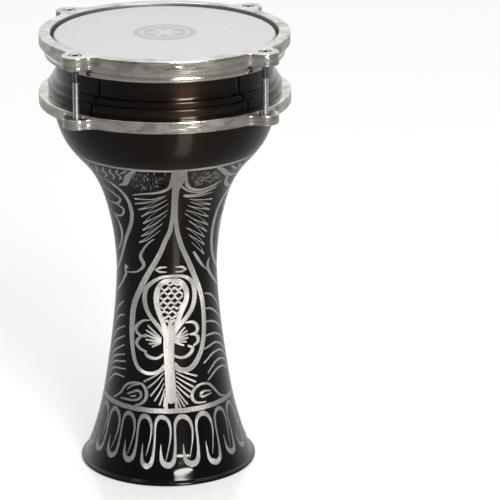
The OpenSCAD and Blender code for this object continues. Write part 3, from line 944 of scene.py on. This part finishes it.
def goblet_shell():
    """The whole shell with its engraving cut DEPTH deep."""
    pick = random.Random(11)
    body, foot = Cuts(), Cuts()
    main_motif(body, pick)
    eye_leaves(body)
    side_palm(body)
    feathers(body)
    panels(body, pick)
    side_medallion(body)
    border(body, HIGH_BORDER, 3.1, 0.15)
    border(body, LOW_BORDER, 4.6, 0.2)
    frieze(foot, pick)
    s = Shell()
    # The rolled rim, from inside the foot to the outline
    s.climb([(FOOT_R - 6.6, 4.4), (FOOT_R - 5.4, 1), (FOOT_R - 4.8, 0), (FOOT_R - 3.2, 0)]
            + arc((FOOT_R - 1.7, 1.7), 1.7, -90, 90, 10)
            + [(80.6, 3.45), (79.8, 3.7), (79.2, 4.05)], "rim")
    s.climb_line((4.4, 6.5, 9, LOW_SEAM))
    middle, top = s.line_ring(MID_SEAM), s.line_ring(TOP_SEAM)
    s.panel(mesh_panel(foot.pieces, LOW_SEAM, MID_SEAM, 360, COLS), 1, 360, s.last, middle)
    s.panel(mesh_panel(body.pieces, MID_SEAM, TOP_SEAM, 180, COLS // 2), 2, 180, middle, top)
    s.last = top
    s.climb_line(np.linspace(TOP_SEAM, SUPPORT_TOP - 0.02, 17)[1:])
    # The bead, the step, the collar and the bearing edge
    s.climb([(BEAD_R - 0.4, SUPPORT_TOP), (BEAD_R, SUPPORT_TOP + 0.4)]
            + arc((BEAD_R - 1.6, BEAD_TOP - 1.6), 1.6, 0, 62, 6)
            + [(STEP_R + 1.0, BEAD_TOP + 0.25), (STEP_R + 0.25, BEAD_TOP + 0.9)]
            + arc((STEP_R - 1.6, STEP_TOP - 1.6), 1.6, 0, 65, 6)
            + [(COLLAR_R + 1.0, STEP_TOP + 0.3), (COLLAR_R + 0.35, STEP_TOP + 1.1),
               (COLLAR_R, STEP_TOP + 2.6)]
            + [(COLLAR_R, z) for z in (388, 396, ROLL_C[1] - ROLL_R)]
            + arc(ROLL_C, ROLL_R, -60, 150, 12), "lacquer_edge")
    # The inside, down to the rim
    s.climb([(COLLAR_R - WALL, STEP_TOP + 1.6), (STEP_R - WALL, STEP_TOP - 2.2),
             (STEP_R - WALL + 0.6, BEAD_TOP - 0.4), (BEAD_R - WALL, BEAD_TOP - 2.6),
             (BEAD_R - WALL, SUPPORT_TOP + WALL)], "inside")
    for z in np.concatenate([np.linspace(358, 270, 12), np.linspace(258, 12, 15)]):
        slope = float(shell_slope(z))
        n = math.hypot(1, slope)
        s.climb([(float(shell_r(z)) - WALL / n, float(z) + WALL * slope / n)], "inside")
    s.join(range(COLS), "inside")
    return recessed(s)


def recessed(s):
    """Sinks the cut faces below the lacquer, with a wall round each of them, and builds
    the mesh object."""
    sunk = {}
    points, normals = list(s.points), list(s.normals)

    def below(i):
        if i not in sunk:
            sunk[i] = len(points)
            points.append(tuple(points[i][k] - DEPTH * normals[i][k] for k in range(3)))
            normals.append(normals[i])
        return sunk[i]

    def sides(face):
        return zip(face, face[1:] + face[:1])

    lacquer_edges = set()
    for face, kind in zip(s.faces, s.kinds):
        if kind not in ("cut", "line"):
            lacquer_edges.update(sides(face))
    made = []                     # (corners, kind, stroke coordinates)
    for face, kind, uv in zip(s.faces, s.kinds, s.uvs):
        if kind not in ("cut", "line"):
            made.append((face, kind, uv))
            continue
        made.append((tuple(below(i) for i in face), kind, uv))
        for k, (a, b) in enumerate(sides(face)):
            if (b, a) in lacquer_edges:
                ua, ub = uv[k], uv[(k + 1) % 3]
                made.append(((below(b), below(a), a, b), "wall", (ub, ua, ua, ub)))
    keep = sorted({i for face, _, _ in made for i in face})
    new = {old: k for k, old in enumerate(keep)}
    slots = {"lacquer": 0, "lacquer_edge": 0, "rim": 0, "cut": 1, "wall": 1, "line": 2,
             "inside": 3}
    obj = mesh_object("engraved_shell", ([points[i] for i in keep],
                                         [tuple(new[i] for i in face) for face, _, _ in made]),
                      [LACQUER, CUT, LINE, INSIDE], [slots[kind] for _, kind, _ in made], 40)
    flat_uv, custom = [], []
    for face, kind, uv in made:
        for k, i in enumerate(face):
            flat_uv += uv[k] if uv else (0.0, 0.0)
            analytic = normals[i] is not None and kind in ("lacquer", "cut", "line")
            custom.append(tuple(normals[i]) if analytic else (0.0, 0.0, 0.0))
    obj.data.uv_layers.new(name="cut").data.foreach_set("uv", flat_uv)
    obj.data.normals_split_custom_set(custom)
    return obj


shell = goblet_shell()
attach(shell, "shell")
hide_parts("goblet_shell")

# ---------------------------------------------------------------- rings with ears

EAR_R, BOLT_CIRCLE = 12.6, 119.3
EAR_ANGLES = [48.4 + 90 * k for k in range(4)]


def on_bolt_circle(angle):
    """A point on the bolt circle at an angle in degrees."""
    a = math.radians(angle)
    return BOLT_CIRCLE * math.cos(a), BOLT_CIRCLE * math.sin(a)


def ear(ring_r, blend_r, z_low, z_high, edge):
    """An ear blended into a ring of radius ring_r, with rounded edges."""
    lap = 0.1

    def outline(inset):
        reach, ear_reach = ring_r - lap + blend_r, EAR_R - lap + blend_r
        side = math.acos((reach ** 2 + BOLT_CIRCLE ** 2 - ear_reach ** 2)
                         / (2 * reach * BOLT_CIRCLE))
        b = (reach * math.cos(side), reach * math.sin(side))
        to_ring = math.degrees(math.atan2(-b[1], -b[0]))
        to_ear = math.degrees(math.atan2(-b[1], BOLT_CIRCLE - b[0]))
        if to_ear > 0:
            to_ear -= 360
        upper = arc(b, blend_r + inset, to_ring, to_ear, 9)
        swing = math.degrees(math.atan2(b[1], b[0] - BOLT_CIRCLE))
        tip = arc((BOLT_CIRCLE, 0), EAR_R - inset, -swing, swing, 26)[1:-1]
        lower = [(x, -y) for x, y in upper]
        root = [(x * (ring_r - 5) / ring_r, y * (ring_r - 5) / ring_r)
                for x, y in (upper[0], lower[0])]
        return lower + tip + upper[::-1] + root

    quarter = [math.radians(t) for t in (0, 22.5, 45, 67.5, 90)]
    levels = [(edge * (1 - math.sin(t)), z_low + edge * (1 - math.cos(t))) for t in quarter]
    levels += [(inset, z_high - (z - z_low)) for inset, z in levels[::-1]]
    verts, rows = [], []
    for inset, z in levels:
        loop = outline(inset)
        rows.append(range(len(verts), len(verts) + len(loop)))
        verts += [(x, y, z) for x, y in loop]
    n = len(rows[0])
    faces = [tuple(reversed(rows[0])), tuple(rows[-1])]
    for low, high in zip(rows, rows[1:]):
        faces += [(low[k], low[(k + 1) % n], high[(k + 1) % n], high[k]) for k in range(n)]
    return verts, faces


def hole(r, z_low, z_high, chamfer_low=0.0, chamfer_high=0.0):
    """A cutter for a round hole, which flares at its ends to break their edges."""
    profile = [(0, z_low - 1), (r + chamfer_low + (1 if chamfer_low else 0), z_low - 1)]
    if chamfer_low:
        profile.append((r, z_low + chamfer_low))
    if chamfer_high:
        profile.append((r, z_high - chamfer_high))
    profile += [(r + chamfer_high + (1 if chamfer_high else 0), z_high + 1), (0, z_high + 1)]
    return revolve(profile, 48, closed=False)


def eared_ring(name, profile, ring_r, blend_r, ear_low, ear_high, cutters):
    """A plated ring with four ears, from its turned section and its hole cutters."""
    ring = mesh_object(name, revolve(profile, 240), [NICKEL])
    one_ear = ear(ring_r, blend_r, ear_low, ear_high, 0.9)
    cut(ring, [mesh_object("ear", moved(one_ear, 0, 0, angle), [NICKEL])
               for angle in EAR_ANGLES], "UNION")
    cut(ring, [mesh_object("hole", moved(cutter, *on_bolt_circle(angle)), [NICKEL])
               for angle in EAR_ANGLES for cutter in cutters], "DIFFERENCE")
    return finished(ring, name)


HOOP_R, HOOP_BORE, HOOP_LOW, REBATE_R = 115, 104.4, DRUM_H - 11, 110.4
HOOP_EAR_LOW = DRUM_H - 11.7
hoop_section = ([(HOOP_BORE, FLESH_TOP + 0.5), (HOOP_BORE + 0.5, FLESH_TOP)]
                + [(REBATE_R, FLESH_TOP), (REBATE_R, HOOP_LOW + 0.5), (REBATE_R + 0.5, HOOP_LOW)]
                + arc((HOOP_R - 1.4, HOOP_LOW + 1.4), 1.4, -90, 0)
                + arc((HOOP_R - 1.2, DRUM_H - 1.2), 1.2, 0, 90)
                + arc((HOOP_BORE + 1.4, DRUM_H - 1.4), 1.4, 90, 180))
hoop = eared_ring("cast_tension_ring", hoop_section, HOOP_R, 9, HOOP_EAR_LOW, DRUM_H,
                  [hole(5.75, WASHER_BOTTOM + 1, DRUM_H, 0, 0.3),
                   hole(3.3, HOOP_EAR_LOW, WASHER_BOTTOM + 1.2, 0.3, 0)])
# Painted shade: the faces of the bore take the darker bore material
hoop.data.materials.append(SHADED_BORE)
for face in hoop.data.polygons:
    across = math.hypot(face.center.x, face.center.y) / MM
    if across < HOOP_BORE + 0.4 and abs(face.normal.z) < 0.75:
        face.material_index = len(hoop.data.materials) - 1
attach(hoop, "hoop")
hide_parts("tension_hoop")

SUPPORT_R, SUPPORT_BORE, SUPPORT_LOW = 115.99, 104.6, SUPPORT_TOP - 11
SUPPORT_EAR_TOP = SUPPORT_LOW + 9.2
support_section = (arc((SUPPORT_BORE + 0.5, SUPPORT_LOW + 0.5), 0.5, 180, 270, 3)
                   + arc((SUPPORT_R - 1, SUPPORT_LOW + 1), 1, -90, 0, 5)
                   + arc((SUPPORT_R - 1, SUPPORT_TOP - 1), 1, 0, 90, 5)
                   + arc((SUPPORT_BORE + 0.5, SUPPORT_TOP - 0.5), 0.5, 90, 180, 3))
support = eared_ring("cast_support_ring", support_section, SUPPORT_R, 14, SUPPORT_LOW,
                     SUPPORT_EAR_TOP, [hole(3.05, SUPPORT_LOW, SUPPORT_EAR_TOP, 0.4, 0.4)])
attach(support, "shell")
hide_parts("lower_ring")

# ---------------------------------------------------------------- head

CHANNEL_R, CHANNEL_WALL = 102.2, 1.2      # inner radius and wall of the flesh hoop


def flesh_hoop():
    """The aluminium channel that holds the head, with its groove and rolled lip."""
    r0, r1, low, top, wall = CHANNEL_R, 110.0, FLESH_BOTTOM, FLESH_TOP, CHANNEL_WALL
    section = ([(r0, top), (r0, low + 1.2)] + arc((r0 + 1.2, low + 1.2), 1.2, 180, 270, 4)[1:]
               + arc((r1 - 1.6, low + 1.6), 1.6, -90, 0, 5)
               + [(r1, low + 4.4), (r1 - 0.25, low + 4.85), (r1 - 0.6, low + 5.3),
                  (r1 - 0.6, low + 6.1), (r1 - 0.25, low + 6.5), (r1, low + 6.9), (r1, top),
                  (r1 - wall, top), (r1 - wall, low + 2), (r0 + wall, low + 2), (r0 + wall, top)])
    return mesh_object("aluminium_flesh_hoop", revolve(section, 288), [ALUMINIUM])


def drumhead():
    """The film: flat over the shell, bent over the bearing edge, and down into the channel."""
    thick, gap = 0.25, 0.03
    root = FLESH_BOTTOM + 3.5
    to_lip = (CHANNEL_R + CHANNEL_WALL + 0.15 - ROLL_C[0], FLESH_TOP - ROLL_C[1])
    slope = math.degrees(math.atan2(to_lip[1], to_lip[0])
                         - math.asin(ROLL_R / math.hypot(*to_lip)))
    leave = slope + 90            # where round the bearing edge the film leaves it

    def cone(d):
        x = ROLL_C[0] + d * math.cos(math.radians(leave))
        y = ROLL_C[1] + d * math.sin(math.radians(leave))
        return (x + (root - y) / math.tan(math.radians(slope)), root)

    radii = [6, 14, 22, 32, 45, 60, 75, 88, 96]
    section = ([(r, FILM_TOP - thick) for r in [0] + radii]
               + arc(ROLL_C, ROLL_R + gap, 90, leave, 8) + [cone(ROLL_R + gap)]
               + [cone(ROLL_R + thick)] + arc(ROLL_C, ROLL_R + thick, leave, 90, 8)
               + [(r, FILM_TOP) for r in radii[::-1] + [0]])
    return mesh_object("printed_drumhead", revolve(section, 240, closed=False), [FILM], sharp=50)


flesh = flesh_hoop()
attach(flesh, "shell")
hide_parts("flesh_hoop")

head = drumhead()
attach(head, "shell")
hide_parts("drumhead_film")

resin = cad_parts["hoop_resin"]
resin.data.materials.clear()
resin.data.materials.append(RESIN)

# ---------------------------------------------------------------- bolts and washers

def thread(z_low, z_high, major, minor, pitch, n=24):
    """A threaded rod that runs past both heights, to be trimmed: rows follow the helix."""
    profile = [(0.0, minor), (0.3, minor + 0.32), (0.44, major), (0.56, major),
               (0.7, minor + 0.32)]
    per = len(profile)
    turns = int(math.ceil((z_high - z_low) / pitch)) + 3
    verts = []
    for i in range(turns * per + 1):
        share, r = profile[i % per]
        for j in range(n):
            z = z_low - 2 * pitch + (i // per + share + j / n) * pitch
            a = math.tau * j / n
            verts.append((r * math.cos(a), r * math.sin(a), z))

    def at(i, j):                 # a turn further round, a row has climbed by a thread
        return i * n + j if j < n else (i + per) * n

    last = turns * per - per
    faces = [(at(i, j), at(i, j + 1), at(i + 1, j + 1), at(i + 1, j))
             for i in range(last) for j in range(n)]
    # Close both ends round a centre point
    for row, z in ((0, z_low - 2.5 * pitch), (last, z_high + 1.5 * pitch)):
        loop = [at(row, j) for j in range(n)] + [at(row + k, 0) for k in range(per, 0, -1)]
        for a, b in zip(loop, loop[1:] + loop[:1]):
            faces.append((a, b, len(verts)) if row else (b, a, len(verts)))
        verts.append((0, 0, z))
    return verts, faces


def bolt():
    """One socket-head bolt on the Z axis: head, reduced shank, thread, hex socket."""
    head_r, shank_r, shank_l, thread_r = 5.0, 2.65, 18.4, 3.0
    flats, socket_deep, knurls, knurl = 5, 3, 96, 0.968
    thread_top = HEAD_Z - shank_l
    rod = mesh_object("rod", thread(BOLT_TIP, thread_top, thread_r, 2.5, 1.0), [ZINC, STEEL])
    trim = [(0, BOLT_TIP), (2.1, BOLT_TIP), (thread_r + 0.1, BOLT_TIP + 1),
            (thread_r + 0.1, thread_top - 0.45), (shank_r - 0.1, thread_top), (0, thread_top)]
    cut(rod, [mesh_object("trim", revolve(trim, 48, closed=False), [ZINC, STEEL])], "INTERSECT")
    body = [(0, thread_top - 0.6), (shank_r, thread_top - 0.6), (shank_r, HEAD_Z - 0.5),
            (shank_r + 0.3, HEAD_Z), (head_r - 0.4, HEAD_Z), (head_r, HEAD_Z + 0.4),
            (head_r, HEAD_Z + 0.8), (head_r, BOLT_TOP - 1), (head_r, BOLT_TOP - 0.6),
            (head_r - 0.3, BOLT_TOP - 0.15), (head_r - 0.7, BOLT_TOP), (0, BOLT_TOP)]
    verts, faces = revolve(body, knurls, closed=False)
    for i in range(1 + 5 * knurls, 1 + 7 * knurls, 2):      # every other point of two rows
        x, y, z = verts[i]
        verts[i] = (x * knurl, y * knurl, z)
    upper = mesh_object("upper", (verts, faces), [ZINC, STEEL])
    upper.data.polygons.foreach_set("material_index", [
        1 if p.center.z < HEAD_Z * MM else 0 for p in upper.data.polygons])
    socket_r = flats / 2 / math.cos(math.radians(30))
    floor_z = BOLT_TOP - socket_deep
    socket = revolve([(0, floor_z - 0.9), (socket_r, floor_z), (socket_r, BOLT_TOP - 0.25),
                      (socket_r + 1.1, BOLT_TOP + 0.85), (0, BOLT_TOP + 0.85)], 6, closed=False)
    cut(upper, [mesh_object("socket", socket, [STEEL, STEEL], [1] * len(socket[1]))],
        "DIFFERENCE")
    cut(rod, [upper], "UNION")
    return finished(rod, "bolt_shape", 38)


def washer():
    """One plain washer on the Z axis, with broken edges."""
    top, low, r, bore = HEAD_Z, WASHER_BOTTOM, 5.5, 3.3
    section = [(bore, low + 0.15), (bore + 0.15, low), (r - 0.25, low), (r, low + 0.25),
               (r, top - 0.4), (r - 0.12, top - 0.12), (r - 0.4, top), (bore + 0.15, top),
               (bore, top - 0.15)]
    return mesh_object("washer_shape", revolve(section, 64), [ZINC])


bolt_shape, washer_shape = bolt(), washer()
ORDER = {1: 3, 2: 0, 3: 1, 4: 2}      # the ear that each bolt and washer stands in
for number, at_ear in ORDER.items():
    x, y = on_bolt_circle(EAR_ANGLES[at_ear])
    stopped = math.radians(23 * number)       # each bolt stopped at its own angle
    place = Matrix.Translation((x * MM, y * MM, 0)) @ Matrix.Rotation(stopped, 4, "Z")
    for shape, name, kind, body in ((bolt_shape, "socket_bolt", "bolt", f"bolt_{number}"),
                                    (washer_shape, "flat_washer", "washer", "hoop")):
        mesh = shape.data.copy()
        mesh.transform(place)
        piece = new_object(f"{name}_{number}", mesh)
        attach(piece, body)
        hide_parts(f"{kind}_{number}")
bpy.data.objects.remove(bolt_shape)
bpy.data.objects.remove(washer_shape)

# ---------------------------------------------------------------- floor, light and camera

def floor():
    """A wide pale floor. Reflections in the drum see it darker than the camera does."""
    half = 9.0
    mesh = bpy.data.meshes.new("floor")
    mesh.from_pydata([(-half, -half, 0), (half, -half, 0), (half, half, 0), (-half, half, 0)],
                     [], [(0, 1, 2, 3)])
    look = Look("pale_floor", Roughness=0.17, IOR=1.6, Emission_Color=(1, 0.99, 0.98, 1))
    seen = look.add("LightPath").outputs["Is Camera Ray"]
    look.set(Emission_Strength=look.scaled(seen, 0.28, 0.12),
             Base_Color=look.mix(seen, (0.16, 0.152, 0.145, 1), (0.52, 0.525, 0.53, 1)))
    mesh.materials.append(look.material)
    return new_object("floor", mesh)


floor()


def softbox(name, place, aim, width, height, power, colour=(1, 1, 1), shape="RECTANGLE"):
    """A flat soft light that the camera doesn't see."""
    light = bpy.data.lights.new(name, "AREA")
    light.shape = shape
    light.size, light.size_y = width, height
    light.energy = power
    light.color = colour
    obj = new_object(name, light)
    obj.location = place
    x, y, z = (a - b for a, b in zip(aim, place))
    obj.rotation_euler = (math.atan2(math.hypot(x, y), -z), 0, math.atan2(y, x) - math.pi / 2)
    obj.visible_camera = False


softbox("overhead", (0.1, 0.2, 2.4), (0, 0, 0.1), 2.2, 2.2, 23)
softbox("strip", (0.70, -1.75, 1.4), (0, 0, 0.3), 0.52, 1.4, 46, (1, 0.94, 0.86))
softbox("glint", (0.66, -1.8, 0.49), (0, 0, 0.05), 0.9, 0.11, 8.5, (1, 0.98, 0.95), "ELLIPSE")

# The room is white to the camera. Reflections see it dark in front and white behind.
world = bpy.data.worlds.new("studio")
bpy.context.scene.world = world
world.use_nodes = True
room = Nodes(world.node_tree)
toward = room.scaled(room.xyz(room.coordinates("Generated"))[1], 0.5, 0.5)
shade = room.ramp(toward, (0.15, 0.21, 0.21, 0.21), (0.55, 0.28, 0.28, 0.285),
                  (0.85, 1.0, 1.0, 1.0))
seen = room.add("LightPath").outputs["Is Camera Ray"]
room.feed(room.tree.nodes["Background"],
          {"Color": room.mix(seen, shade, (1.0, 1.0, 1.0, 1)), "Strength": 1.0})

camera = bpy.data.cameras.new("camera")
camera.sensor_width = 36
camera.lens = 213.94
camera.clip_end = 60
view = new_object("camera", camera)
view.location = (0, -2.639, 1.086)
view.rotation_euler = (math.radians(90 - 18.469), 0, math.radians(-1.694))
bpy.context.scene.camera = view
bpy.context.scene.view_settings.view_transform = "Standard"
